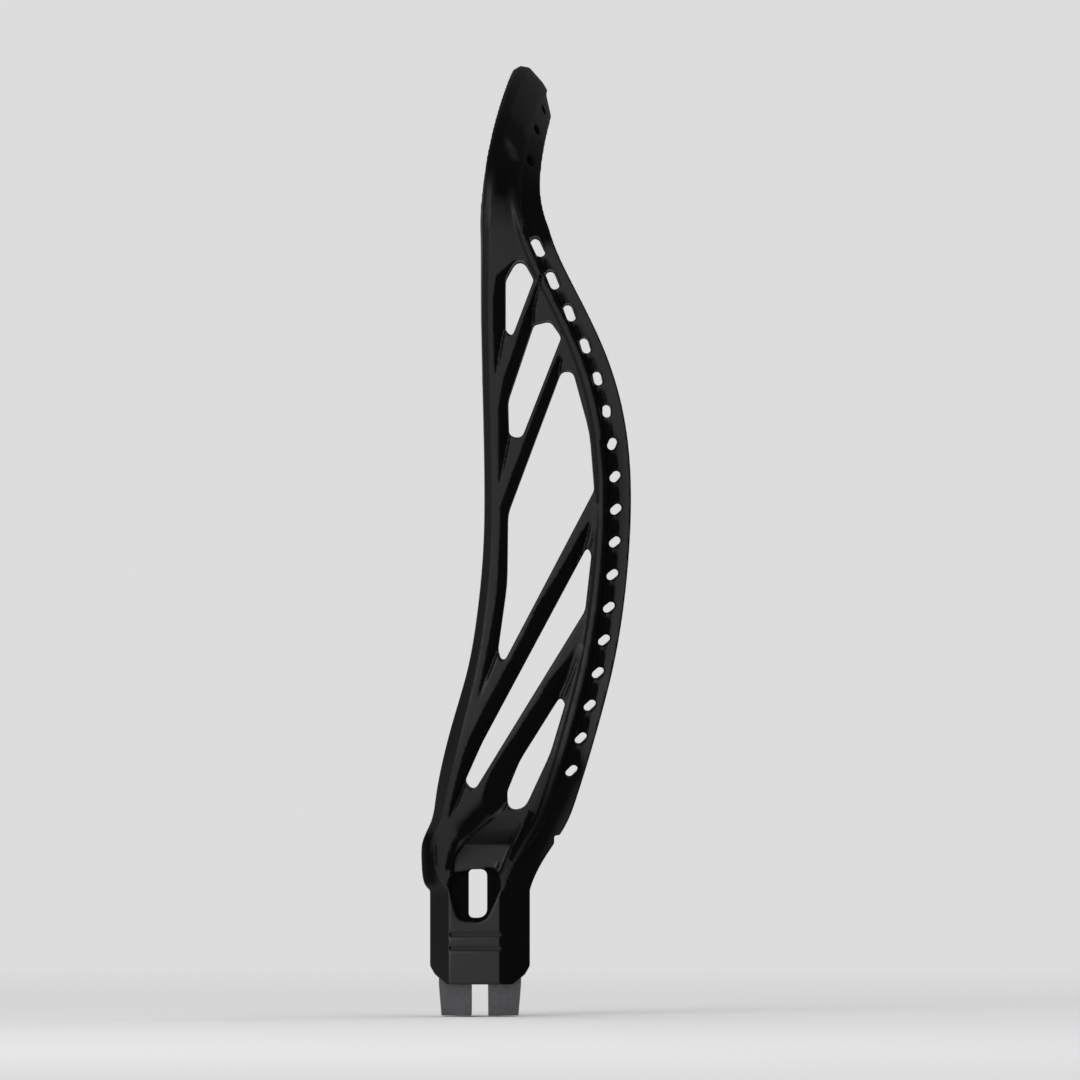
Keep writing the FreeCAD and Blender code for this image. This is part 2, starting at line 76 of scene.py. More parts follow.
# Lines on the head's side that both the relief and the painted shade follow, as (X, Z) in millimetres.
HIGH_RIB: Line = ((40.4, 167.0), (39.6, 160.0), (37.4, 153.0))
LOW_RIB: Line = ((35.2, 118.0), (33.3, 113.4), (31.0, 107.0), (28.8, 101.5))
WINDOW_LIP: Line = ((-3.7, 74.0), (1.3, 86.0), (4.2, 91.4))
BACK_LEG: Line = ((31.9, 74.7), (28.0, 66.0), (23.5, 57.0), (18.5, 46.0))
BACK_LEG_FOOT: Line = ((15.0, 36.0),)
SLOT_FOLD: Line = ((-10.6, 41.0), (-9.8, 45.2), (-8.2, 50.1), (-5.0, 53.8))
FRONT_LEG: Line = ((-5.0, 54.6), (1.4, 61.0), (7.0, 67.5))
LEG_GROOVE: Line = ((10.7, 44.1), (14.6, 52.0), (18.1, 59.8))
BULGE_RECESS: Line = ((-17.6, 51.0), (-17.6, 37.0))


class Wire:
    """A node's output socket that does arithmetic by adding Math nodes."""

    def __init__(self, shade: "Shade", socket: bpy.types.NodeSocket) -> None:
        """Keeps the socket and the tree it belongs to.

        Args:
            shade: the material that new nodes go into.
            socket: the output to wrap.
        """
        self.shade = shade
        self.socket = socket

    def also(self, output: str) -> "Wire":
        """Another output of the same node."""
        return Wire(self.shade, self.socket.node.outputs[output])

    def _maths(self, operation: str, left: object, right: object) -> "Wire":
        """Adds one Math node and returns its result."""
        return self.shade.add("ShaderNodeMath", {"operation": operation}, {0: left, 1: right})

    def __add__(self, other: object) -> "Wire":
        """Sum."""
        return self._maths("ADD", self, other)

    def __radd__(self, other: object) -> "Wire":
        """Sum, with a number first."""
        return self._maths("ADD", other, self)

    def __sub__(self, other: object) -> "Wire":
        """Difference."""
        return self._maths("SUBTRACT", self, other)

    def __rsub__(self, other: object) -> "Wire":
        """Difference, with a number first."""
        return self._maths("SUBTRACT", other, self)

    def __mul__(self, other: object) -> "Wire":
        """Product."""
        return self._maths("MULTIPLY", self, other)

    def __rmul__(self, other: object) -> "Wire":
        """Product, with a number first."""
        return self._maths("MULTIPLY", other, self)


class Shade:
    """One material, or the world, and the nodes in it."""

    def __init__(self, name: str, world: bool = False) -> None:
        """Starts with no nodes.

        Args:
            name: the finish's plain name.
            world: whether the nodes light the world instead of a piece.
        """
        self.owner = (bpy.data.worlds if world else bpy.data.materials).new(name)
        self.owner.use_nodes = True
        self.tree = self.owner.node_tree
        self.tree.nodes.clear()
        self.last = "ShaderNodeOutputWorld" if world else "ShaderNodeOutputMaterial"

    def add(self, kind: str, settings: Optional[dict] = None, inputs: Optional[dict] = None,
            output: Union[int, str] = 0) -> Wire:
        """Adds a node of any type.

        Args:
            kind: the node's type name.
            settings: attributes set first; "stops" gives a ramp's (place, colour) pairs.
            inputs: values or wires, by socket name or number.
            output: which output to return.

        Returns:
            The chosen output, wrapped.
        """
        node = self.tree.nodes.new(kind)
        for key, value in (settings or {}).items():
            if key == "stops":
                ramp = node.color_ramp
                while len(ramp.elements) < len(value):
                    ramp.elements.new(0.5)
                for element, (place, colour) in zip(ramp.elements, value):
                    element.position = place
                    element.color = colour
            else:
                setattr(node, key, value)
        for key, value in (inputs or {}).items():
            if isinstance(value, Wire):
                self.tree.links.new(value.socket, node.inputs[key])
            else:
                node.inputs[key].default_value = value
        return Wire(self, node.outputs[output])

    def place(self) -> Wire:
        """Position on the piece, in metres."""
        return self.add("ShaderNodeTexCoord", output="Object")

    def noise(self, scale: float, detail: float = 3.0, roughness: float = 0.5,
              stretch: Optional[tuple[float, float, float]] = None) -> Wire:
        """Soft noise from 0 to 1.

        Args:
            scale: how many lumps to a metre.
            detail: octaves.
            roughness: weight of the finer octaves.
            stretch: scale along each axis before the noise, for streaks.

        Returns:
            The noise value.
        """
        where = self.place()
        if stretch:
            where = self.add("ShaderNodeMapping", inputs={"Vector": where, "Scale": stretch})
        return self.add("ShaderNodeTexNoise", inputs={"Vector": where, "Scale": scale, "Detail": detail,
                                                      "Roughness": roughness})

    def ramp(self, value: Wire, low: float, high: float) -> Wire:
        """Maps a band of a value onto 0 to 1, smoothly and clamped."""
        return self.add("ShaderNodeMapRange", {"interpolation_type": "SMOOTHSTEP"},
                        {"Value": value, "From Min": low, "From Max": high})

    def blend(self, factor: Wire, low: Union[Colour, Wire], high: Union[Colour, Wire]) -> Wire:
        """Mixes two colours by a factor."""
        return self.add("ShaderNodeMix", {"data_type": "RGBA"}, {0: factor, 6: low, 7: high}, output=2)

    def bump(self, height: Wire, strength: float, distance: float, under: Optional[Wire] = None) -> Wire:
        """Surface relief from a height.

        Args:
            height: the height, from 0 to 1.
            strength: how much of it shows.
            distance: its depth in metres.
            under: a coarser relief below this one.

        Returns:
            The bent normal.
        """
        inputs = {"Height": height, "Strength": strength, "Distance": distance}
        if under:
            inputs["Normal"] = under
        return self.add("ShaderNodeBump", inputs=inputs)

    def finish(self, inputs: dict) -> bpy.types.ID:
        """Ends the material in one Principled shader.

        Args:
            inputs: values or wires of the shader's sockets.

        Returns:
            The finished material.
        """
        return self.end(self.add("ShaderNodeBsdfPrincipled", inputs=inputs))

    def end(self, shader: Wire) -> bpy.types.ID:
        """Joins a shader to the output.

        Args:
            shader: the shader that shows.

        Returns:
            The finished material or world.
        """
        node = self.tree.nodes.new(self.last)
        self.tree.links.new(shader.socket, node.inputs["Surface"])
        return self.owner


class Relief(Enum):
    """Whether a stroke stands proud of the surface or is pressed into it."""

    RAISED = 1.0
    SUNK = -1.0


@dataclass(frozen=True)
class MouldedNylon:
    """Black satin nylon, with painted shade from a darker, less glossy copy and a painted highlight on
    edges.
    """

    tone: Colour = (0.0034, 0.0034, 0.0036, 1.0)
    # Painted highlight: the lighter tone on sharp outer edges.
    edge_highlight_tone: Colour = (0.0085, 0.0085, 0.009, 1.0)
    # Painted shade: the darker tone below, with the rougher, less glossy settings named like it, makes the
    # shaded copy.
    shaded_tone: Colour = (0.0016, 0.0016, 0.0017, 1.0)
    cloud_gain: float = 1.5
    roughness: float = 0.48
    shaded_roughness: float = 0.78
    gloss: float = 0.36
    shaded_gloss: float = 0.045
    cloud_to_metre: float = 45.0
    flow_to_metre: float = 30.0
    flow_stretch: tuple[float, float, float] = (6.0, 6.0, 0.8)
    grain_to_metre: float = 3200.0
    coarse_share: float = 0.3
    shaded_grain_to_metre: float = 900.0

    def build(self) -> bpy.types.ID:
        """Makes the material.

        Returns:
            The black nylon.
        """
        shade = Shade("black_moulded_nylon")
        # Painted highlight on sharp outer edges, read from a mesh attribute.
        edge = shade.add("ShaderNodeAttribute", {"attribute_name": "edge_wear"}, output="Fac")
        # Painted shade: the share of the shaded copy at each point, read from a mesh attribute.
        etched = shade.add("ShaderNodeAttribute", {"attribute_name": "etched"}, output="Fac")
        cloud = shade.ramp(shade.noise(self.cloud_to_metre, 4.0, 0.6), 0.35, 0.7)
        flow = shade.noise(self.flow_to_metre, 3.0, 0.55, stretch=self.flow_stretch)
        fine = shade.noise(self.grain_to_metre, 2.0, 0.6)
        coarse = shade.noise(self.grain_to_metre * self.coarse_share, 2.0, 0.5)
        cloudy = tuple(part * self.cloud_gain for part in self.tone[:3]) + (1.0,)
        base = shade.blend(edge, shade.blend(cloud, self.tone, cloudy), self.edge_highlight_tone)
        rough = (self.roughness + (fine - 0.5) * 0.10 + (flow - 0.5) * 0.12 - edge * 0.09
                 + (cloud - 0.5) * 0.04)
        relief = shade.bump(flow, 0.10, 0.0004)
        relief = shade.bump(coarse, 0.10, 0.00012, under=relief)
        relief = shade.bump(fine, 0.22, 0.00006, under=relief)
        grain = shade.bump(shade.noise(self.shaded_grain_to_metre, 3.0, 0.6), 0.30, 0.0002, under=relief)
        satin = shade.add("ShaderNodeBsdfPrincipled", inputs={
            "Base Color": base, "Roughness": rough, "Normal": relief, "IOR": NYLON_IOR,
            "Specular IOR Level": self.gloss})
        # The shaded copy of the nylon, darker and with little gloss: painted shade.
        shaded = shade.add("ShaderNodeBsdfPrincipled", inputs={
            "Base Color": self.shaded_tone, "Roughness": self.shaded_roughness, "Normal": grain,
            "IOR": NYLON_IOR, "Specular IOR Level": self.shaded_gloss})
        return shade.end(shade.add("ShaderNodeMixShader", inputs={0: etched, 1: satin, 2: shaded}))


@dataclass(frozen=True)
class MilkyNylon:
    """Smoke-grey nylon: a cloudy plastic that lets a little light through."""

    tone: Colour = (0.072, 0.074, 0.078, 1.0)
    deep_tone: Colour = (0.050, 0.052, 0.056, 1.0)
    roughness: float = 0.30
    clearness: float = 0.12
    glow: float = 0.35
    glow_depth: float = 0.002

    def build(self) -> bpy.types.ID:
        """Makes the material.

        Returns:
            The grey nylon.
        """
        shade = Shade("milky_nylon")
        cloud = shade.ramp(shade.noise(110.0, 4.0, 0.6), 0.3, 0.75)
        drawn = shade.noise(260.0, 2.0, 0.5, stretch=(1.0, 1.0, 0.12))
        fine = shade.noise(2600.0, 2.0, 0.5)
        base = shade.blend(cloud, self.tone, self.deep_tone)
        rough = self.roughness + (cloud - 0.5) * 0.10 + (drawn - 0.5) * 0.12
        relief = shade.bump(drawn, 0.14, 0.0003)
        relief = shade.bump(fine, 0.10, 0.00005, under=relief)
        return shade.finish({"Base Color": base, "Roughness": rough, "Normal": relief, "IOR": NYLON_IOR,
                             "Transmission Weight": self.clearness, "Subsurface Weight": self.glow,
                             "Subsurface Scale": self.glow_depth, "Subsurface Radius": (1.0, 1.0, 1.0)})


@dataclass(frozen=True)
class ClosedCellFoam:
    """Dense black foam with fine open cells on its cut faces."""

    tone: Colour = (0.022, 0.022, 0.023, 1.0)
    # The cells' rims are lighter; the pits between them take painted shade.
    rim_tone: Colour = (0.055, 0.055, 0.057, 1.0)
    cells_to_metre: float = 1500.0
    lumps_to_metre: float = 240.0
    roughness: float = 0.85

    def build(self) -> bpy.types.ID:
        """Makes the material.

        Returns:
            The foam.
        """
        shade = Shade("closed_cell_foam")
        cells = shade.add("ShaderNodeTexVoronoi", {"feature": "F1"},
                          {"Vector": shade.place(), "Scale": self.cells_to_metre, "Randomness": 1.0},
                          output="Distance")
        lumps = shade.noise(self.lumps_to_metre, 3.0, 0.6)
        # Painted shade in the cells' pits: darker in their middles than at their rims.
        rim = shade.ramp(cells, 0.25, 0.75)
        base = shade.blend(rim, self.tone, self.rim_tone)
        relief = shade.bump(lumps, 0.2, 0.0004)
        relief = shade.bump(cells, 0.55, 0.00025, under=relief)
        return shade.finish({"Base Color": base, "Roughness": self.roughness + (lumps - 0.5) * 0.15,
                             "Normal": relief, "Sheen Weight": 0.15, "Sheen Roughness": 0.6})


def mesh_points(mesh: bpy.types.Mesh) -> np.ndarray:
    """Positions of a mesh's points, n by 3 in metres."""
    flat = np.empty(len(mesh.vertices) * 3)
    mesh.vertices.foreach_get("co", flat)
    return flat.reshape(-1, 3)


def mesh_edges(mesh: bpy.types.Mesh) -> np.ndarray:
    """Point numbers at both ends of a mesh's edges, n by 2."""
    flat = np.empty(len(mesh.edges) * 2, dtype=np.int64)
    mesh.edges.foreach_get("vertices", flat)
    return flat.reshape(-1, 2)


def mesh_triangles(mesh: bpy.types.Mesh) -> np.ndarray:
    """Point numbers of a mesh's triangles, n by 3."""
    mesh.calc_loop_triangles()
    flat = np.empty(len(mesh.loop_triangles) * 3, dtype=np.int64)
    mesh.loop_triangles.foreach_get("vertices", flat)
    return flat.reshape(-1, 3)


def joined_copy(name: str, nodes: tuple[str, ...]) -> bpy.types.Object:
    """Copies solids into one new mesh and merges their loose triangles.

    Args:
        name: the new piece's name.
        nodes: names of the solids to copy.

    Returns:
        The new object, at the origin.
    """
    points: list[np.ndarray] = []
    triangles: list[np.ndarray] = []
    start = 0
    for node in nodes:
        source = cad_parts[node].data
        points.append(mesh_points(source))
        triangles.append(mesh_triangles(source) + start)
        start += len(source.vertices)
    cloud = np.vstack(points)
    per_metre = 1e7  # points that round to the same place at this fineness are one
    _, first, back = np.unique(np.round(cloud * per_metre).astype(np.int64), axis=0, return_index=True,
                               return_inverse=True)
    merged = back.reshape(-1)[np.vstack(triangles)]
    whole = (merged != np.roll(merged, -1, axis=1)).all(axis=1)
    return mesh_object(name, cloud[first], merged[whole])


def mesh_object(name: str, points: np.ndarray, faces: np.ndarray) -> bpy.types.Object:
    """Puts arrays of points and faces into a smooth-shaded mesh object.

    Args:
        name: the piece's name.
        points: n by 3 positions in metres.
        faces: m by 3 or m by 4 corner numbers.

    Returns:
        The new object, linked to the scene.
    """
    mesh = bpy.data.meshes.new(name)
    sides = faces.shape[1]
    mesh.vertices.add(len(points))
    mesh.vertices.foreach_set("co", points.astype(np.float32).ravel())
    mesh.loops.add(len(faces) * sides)
    mesh.loops.foreach_set("vertex_index", faces.astype(np.int32).ravel())
    mesh.polygons.add(len(faces))
    mesh.polygons.foreach_set("loop_start", np.arange(0, len(faces) * sides, sides, dtype=np.int32))
    mesh.update(calc_edges=True)
    mesh.validate()
    mesh.shade_smooth()
    piece = bpy.data.objects.new(name, mesh)
    bpy.context.scene.collection.objects.link(piece)
    return piece


def soft_skin(piece: bpy.types.Object, voxel: float, rounds: int) -> None:
    """Replaces a piece's mesh with an even skin of voxels whose edges are softened.

    Args:
        piece: the mesh object, closed.
        voxel: size of a voxel in metres.
        rounds: how many times the skin is smoothed.
    """
    remesh = piece.modifiers.new("skin", "REMESH")
    remesh.mode = "VOXEL"
    remesh.voxel_size = voxel
    soften = piece.modifiers.new("soften", "SMOOTH")
    soften.factor = 0.5
    soften.iterations = rounds
    apply_modifiers(piece)


def apply_modifiers(piece: bpy.types.Object) -> None:
    """Bakes every modifier of a piece into its mesh."""
    graph = bpy.context.evaluated_depsgraph_get()
    baked = bpy.data.meshes.new_from_object(piece.evaluated_get(graph))
    piece.modifiers.clear()
    piece.data = baked
    piece.data.shade_smooth()


@dataclass(frozen=True)
class Stroke:
    """A soft rib or groove that follows a line on the head's side.

    Lengths are in millimetres, and the line is given as (X, Z) in the side view.
    """

    line: Line
    half_width: float
    height: float
    relief: Relief

    def lift(self, points: np.ndarray) -> np.ndarray:
        """Signed height of the stroke at each point.

        The height is half a cosine wave of the distance to the nearest part of the line: full on the
        line and 0 from half_width outwards.

        Args:
            points: n by 2 positions (X, Z) in millimetres.

        Returns:
            n heights in millimetres, below 0 where the stroke is sunk.
        """
        line = np.array(self.line)
        low, high = line.min(axis=0) - self.half_width, line.max(axis=0) + self.half_width
        near = np.flatnonzero(((points > low) & (points < high)).all(axis=1))
        spot = points[near, None, :]
        start, run = line[None, :-1], np.diff(line, axis=0)[None]
        share = (((spot - start) * run).sum(axis=-1) / (run ** 2).sum(axis=-1)).clip(0, 1)
        gap = np.linalg.norm(spot - start - share[..., None] * run, axis=-1).min(axis=1)
        result = np.zeros(len(points))
        result[near] = 0.5 + 0.5 * np.cos(math.pi * (gap / self.half_width).clip(0, 1))
        return result * self.height * self.relief.value


class SideHeights:
    """How far out from the middle plane the head's sides stand, on a square grid over X and Z."""

    margin = 20  # empty cells round the head

    def __init__(self, points: np.ndarray, outward: np.ndarray, cell: float = GRID_CELL) -> None:
        """Keeps the widest outward-facing point of each cell.

        Args:
            points: n by 3 positions in millimetres.
            outward: n values, the share of each normal that points away from the middle plane.
            cell: side of a grid cell in millimetres.
        """
        self.cell = cell
        self.corner = points[:, [0, 2]].min(axis=0) - self.margin * cell
        size = ((points[:, [0, 2]].max(axis=0) - self.corner) / cell).astype(int) + self.margin + 2
        self.grid = np.zeros(size)
        facing = points[outward > 0.4]
        place = np.round((facing[:, [0, 2]] - self.corner) / cell).astype(int)
        np.maximum.at(self.grid, (place[:, 0], place[:, 1]), np.abs(facing[:, 1]))

    def spread(self, reach: float, widest: bool = True) -> np.ndarray:
        """Running maximum or minimum of the grid over a square.

        Args:
            reach: half the square's side in millimetres.
            widest: the maximum if true, else the minimum.

        Returns:
            The new grid.
        """
        pick = np.maximum if widest else np.minimum
        result = self.grid
        for axis in (0, 1):
            moved = result
            for step in range(1, int(round(reach / self.cell)) + 1):
                moved = pick(moved, pick(np.roll(result, step, axis), np.roll(result, -step, axis)))
            result = moved
        return result

    def read(self, grid: np.ndarray, points: np.ndarray) -> np.ndarray:
        """Values of a grid at points, blended between the four nearest cells."""
        place = (points[:, [0, 2]] - self.corner) / self.cell
        whole = np.floor(place).astype(int)
        share = place - whole
        i, j = whole.T
        s, t = share.T
        return ((grid[i, j] * (1 - s) + grid[i + 1, j] * s) * (1 - t)
                + (grid[i, j + 1] * (1 - s) + grid[i + 1, j + 1] * s) * t)


def positions(piece: bpy.types.Object) -> np.ndarray:
    """Positions of a piece's points, n by 3 in millimetres."""
    return mesh_points(piece.data) * TO_MM


def normals(piece: bpy.types.Object) -> np.ndarray:
    """Outward normals of a piece's points, n by 3."""
    flat = np.empty(len(piece.data.vertices) * 3)
    piece.data.vertex_normals.foreach_get("vector", flat)
    return flat.reshape(-1, 3)


def outward_share(piece: bpy.types.Object) -> np.ndarray:
    """Share of each point's normal that points away from the middle plane."""
    return normals(piece)[:, 1] * np.sign(positions(piece)[:, 1])


def smooth_step(value: np.ndarray, low: float, high: float) -> np.ndarray:
    """Maps a band of values onto 0 to 1, level at both ends."""
    share = ((value - low) / (high - low)).clip(0, 1)
    return share * share * (3 - 2 * share)


@dataclass(frozen=True)
class PaintedShade:
    """Where shade is painted, from the skin's own shape. Lengths are in millimetres.

    Painted shade falls in four parts: facets that slope away from the side's plane and from the light,
    the hollow round the socket's slot, the scoop's blade where it turns from the light, and bands that
    follow given lines. Raised marks add painted shade, and sunk ones take it away.
    """

    side_lean: Line = ((58, 0.02), (110, 0.04), (170, 0.06), (230, 0.125), (248, 0.19), (264, 0.26))
    pocket_slope: tuple[float, float] = (0.06, 0.16)
    face_slope: tuple[float, float] = (0.28, 0.55)
    face_share: float = 0.55
    hollow_span: float = 8.0
    hollow_depth: tuple[float, float] = (1.2, 2.6)
    hollow_top: tuple[float, float] = (43.5, 41.5)
    scoop: tuple[float, float] = (265.0, 284.0)
    scoop_share: float = 0.96
    scoop_slant: float = 0.8
    scoop_middle: float = 8.0
    # Bands of painted shade: raised marks add it, sunk marks take it away.
    marks: tuple[Stroke, ...] = (
        Stroke(HIGH_RIB, 1.5, 1.2, Relief.SUNK),
        Stroke(LOW_RIB, 1.5, 1.2, Relief.SUNK),
        Stroke(WINDOW_LIP, 2.2, 2.0, Relief.RAISED),
        Stroke(((21.5, 262.0), (19.0, 272.0), (19.0, 290.0)), 7.0, 1.2, Relief.RAISED),
        Stroke(BACK_LEG + BACK_LEG_FOOT, 9.0, 1.2, Relief.RAISED),
        Stroke(SLOT_FOLD, 1.9, 1.3, Relief.RAISED),
        Stroke(FRONT_LEG, 5.0, 1.5, Relief.RAISED),
        Stroke(LEG_GROOVE, 1.5, 1.2, Relief.RAISED),
        Stroke(((9.6, 293.8), (12.6, 288.2)), 1.8, 0.4, Relief.SUNK),
        Stroke(BULGE_RECESS, 4.2, 0.6, Relief.RAISED),
    )

    def write(self, piece: bpy.types.Object, bands: tuple[Stroke, ...]) -> None:
        """Stores the share of painted shade at each point, as a point attribute.

        The slope is the normal's share along X, less that of the side's own lean at that height. The
        hollow's depth is the height of the side's grid after pits narrower than twice the span are
        filled, less the point's own height.

        Args:
            piece: the mesh object.
            bands: more marks.
        """
        points, outward = positions(piece), outward_share(piece)
        along = normals(piece)[:, 0] - np.interp(points[:, 2], *np.array(self.side_lean).T)
        facing = smooth_step(outward, 0.2, 0.5)
        # Painted shade on facets that slope towards the pocket side, away from the light, and a share of it
        # on steep facets towards the face.
        facet = np.maximum(smooth_step(along, *self.pocket_slope),
                           self.face_share * smooth_step(-along, *self.face_slope))
        sides = SideHeights(points, outward)
        sides.grid = sides.spread(self.hollow_span)
        depth = sides.read(sides.spread(self.hollow_span, widest=False), points) - np.abs(points[:, 1])
        below = smooth_step(-points[:, 2], -self.hollow_top[0], -self.hollow_top[1])
        # Painted shade in the hollow round the socket's slot, below its top.
        hollow = smooth_step(depth, *self.hollow_depth) * below
        slanted = points[:, 2] + self.scoop_slant * (points[:, 0] - self.scoop_middle)
        # Painted shade on the scoop's blade, where it turns from the light.
        blade = self.scoop_share * smooth_step(slanted, *self.scoop)
        # Painted shade along the marks' bands.
        added = sum(mark.lift(points[:, [0, 2]]) for mark in (*self.marks, *bands))
        share = (np.maximum(np.maximum(facet, hollow) * facing, blade) + added * facing).clip(0, 1)
        attribute = piece.data.attributes.new("etched", "FLOAT", "POINT")
        attribute.data.foreach_set("value", share.astype(np.float32))


def neighbour_mean(values: np.ndarray, ends: np.ndarray) -> np.ndarray:
    """Mean of a value over the points that edges join to each point.

    Args:
        values: one number for each point.
        ends: point numbers at both ends of each edge.

    Returns:
        One mean for each point.
    """
    count = len(values)
    total = (np.bincount(ends[:, 0], values[ends[:, 1]], count)
             + np.bincount(ends[:, 1], values[ends[:, 0]], count))
    return total / np.bincount(ends.ravel(), minlength=count).clip(1)


def write_edge_highlight(piece: bpy.types.Object, reach: float, rounds: int = 3) -> None:
    """Stores how far each point stands out from its neighbours, for a painted highlight on sharp outer
    edges.

    The value is the distance from a point to the mean of its neighbours, along the inward normal, as a
    share of a reach, so that it is 0 on flats and hollows and 1 on sharp outer edges.

    Args:
        piece: the mesh object.
        reach: the distance in metres that counts as fully sharp.
        rounds: how many times the value is evened out between neighbours.
    """
    points, ends = mesh_points(piece.data), mesh_edges(piece.data)
    mean = np.stack([neighbour_mean(part, ends) for part in points.T], axis=-1)
    sharpness = ((points - mean) * normals(piece)).sum(axis=1).clip(0) / reach
    for _ in range(rounds):
        sharpness = 0.5 * (sharpness + neighbour_mean(sharpness, ends))
    attribute = piece.data.attributes.new("edge_wear", "FLOAT", "POINT")
    attribute.data.foreach_set("value", sharpness.clip(0, 1).astype(np.float32))


@dataclass
class Moulding:
    """The one black moulding: scoop, sidewalls, throat and collar, with softened mould edges.

    The voxel is in metres; the other lengths are in millimetres.
    """

    nodes: tuple[str, ...] = ("scoop", "left_sidewall", "right_sidewall", "throat", "collar")
    voxel: float = 0.00042
    soften_rounds: int = 5
    most_triangles: int = 190000
    highlight_share: float = 0.35
    rib_depth: float = 2.5
    string_top: float = 257.6
    string_pitch: float = 11.43
    string_count: int = 17
    string_inset: Line = ((74, 4.8), (140, 5.3), (235, 6.2))
    patch_reach: tuple[float, float] = (3.4, 6.2)
    patch_shift: float = 0.6
    channel_shift: float = 1.2
    channel_turn: int = 6
    strokes: tuple[Stroke, ...] = (
        Stroke(HIGH_RIB, 1.5, 0.5, Relief.RAISED),
        Stroke(LOW_RIB, 1.5, 0.5, Relief.RAISED),
        Stroke(((-15.9, 48.3), (-15.9, 42.0)), 1.0, 0.7, Relief.RAISED),
        Stroke(BULGE_RECESS, 4.2, 0.4, Relief.SUNK),
        Stroke(LEG_GROOVE, 1.4, 0.8, Relief.SUNK),
        Stroke(((5.8, 40.7), (10.6, 47.8), (15.1, 55.0)), 1.2, 0.5, Relief.RAISED),
        Stroke(((8.1, 60.6), (1.8, 56.0), (-4.6, 51.1), (-8.8, 45.2), (-9.8, 42.0)),
               1.6, 0.5, Relief.RAISED),
        Stroke(((16.5, 60.2), (12.3, 54.6), (1.8, 52.5), (-3.5, 51.1)), 1.8, 0.7, Relief.RAISED),
        Stroke(SLOT_FOLD, 1.9, 0.5, Relief.SUNK),
        Stroke(FRONT_LEG, 5.0, 0.7, Relief.SUNK),
        Stroke(BACK_LEG, 5.5, 0.6, Relief.SUNK),
        Stroke(WINDOW_LIP, 1.5, 2.7, Relief.SUNK),
        Stroke(((35.9, 150.2), (36.9, 152.2)), 0.9, 2.6, Relief.SUNK),
        Stroke(((11.0, 71.0), (12.1, 73.8)), 0.9, 2.6, Relief.SUNK),
        Stroke(((9.5, 294.4), (13.0, 287.4)), 1.4, 0.5, Relief.RAISED),
        Stroke(((10.9, 308.4), (10.5, 302.4), (13.3, 291.9)), 1.8, 0.6, Relief.SUNK),
    )
    finish: MouldedNylon = field(default_factory=MouldedNylon)

    def build(self) -> bpy.types.Object:
        """Makes one skin from the five solids, softens its edges and thins it.

        Returns:
            The moulding.
        """
        piece = joined_copy("moulding", self.nodes)
        soft_skin(piece, self.voxel, self.soften_rounds)
        holes = self._string_line()
        self._emboss(piece, (*self.strokes, *self._string_strokes(holes)))
        log.info("moulding skin: %d faces", len(piece.data.polygons))
        thin = piece.modifiers.new("thin", "DECIMATE")
        thin.ratio = min(1.0, self.most_triangles / (2.0 * len(piece.data.polygons)))
        apply_modifiers(piece)
        # Painted highlight on sharp outer edges.
        write_edge_highlight(piece, self.voxel * self.highlight_share)
        # Painted shade on facets, the hollow, the scoop's blade and bands.
        PaintedShade().write(piece, self._string_shade_bands(holes))
        piece.data.materials.clear()
        piece.data.materials.append(self.finish.build())
        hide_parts(*self.nodes)
        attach(piece, "head")
        return piece

    def _string_line(self) -> np.ndarray:
        """Middles of the string holes: at even heights, and an inset in from the pocket edge.

        The pocket edge is the largest X at which an edge of the sidewall's mesh crosses the height.

        Returns:
            One (X, Z) for each hole, from the top down.
        """
        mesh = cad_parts["left_sidewall"].data
        heights = self.string_top - self.string_pitch * np.arange(self.string_count)
        start, end = (mesh_points(mesh) * TO_MM)[mesh_edges(mesh)].transpose(1, 0, 2)
        below, above = start[:, 2:] - heights, end[:, 2:] - heights
        crossed = below * above < 0
        share = below / np.where(crossed, below - above, 1.0)
        crossing = start[:, :1] + share * (end - start)[:, :1]
        pocket_edge = np.where(crossed, crossing, -np.inf).max(axis=0)
        inset = np.interp(heights, *np.array(self.string_inset).T)
        return np.stack([pocket_edge - inset, heights], axis=-1)

    def _patches(self, holes: np.ndarray, half_width: float, height: float,
                 relief: Relief) -> tuple[Stroke, ...]:
        """A short stroke above each string hole, along the line of holes.

        Args:
            holes: the middles of the holes.
            half_width: half the stroke's width in millimetres.
            height: its height.
            relief: which way it goes.

        Returns:
            One stroke for each hole.
        """
        steps = np.vstack([holes[:1] * 2 - holes[1:2], holes[:-1]]) - holes
        steps /= np.linalg.norm(steps, axis=1)[:, None]
        near, distant = self.patch_reach
        return tuple(Stroke((tuple(spot + step * near), tuple(spot + step * distant)),
                            half_width, height, relief)
                     for spot, step in zip(holes - [self.patch_shift, 0.0], steps))

    def _string_strokes(self, holes: np.ndarray) -> tuple[Stroke, ...]:
        """The string strip's dished channel, and a dished patch above each of its holes."""
        channel = tuple(map(tuple, holes - [self.channel_shift, 0.0]))
        return (Stroke(channel[:self.channel_turn + 1], 3.6, 0.25, Relief.SUNK),
                Stroke(channel[self.channel_turn:], 3.8, 0.6, Relief.SUNK),
                *self._patches(holes, 2.4, 0.6, Relief.SUNK))

    def _string_shade_bands(self, holes: np.ndarray) -> tuple[Stroke, ...]:
        """The string strip's painted shade: a band along its lower part, and a painted shadow above each
        hole.
        """
        strip = tuple(map(tuple, holes))
        return (Stroke(strip[self.channel_turn:], 5.5, 0.55, Relief.RAISED),
                *self._patches(holes, 2.9, 0.9, Relief.RAISED))

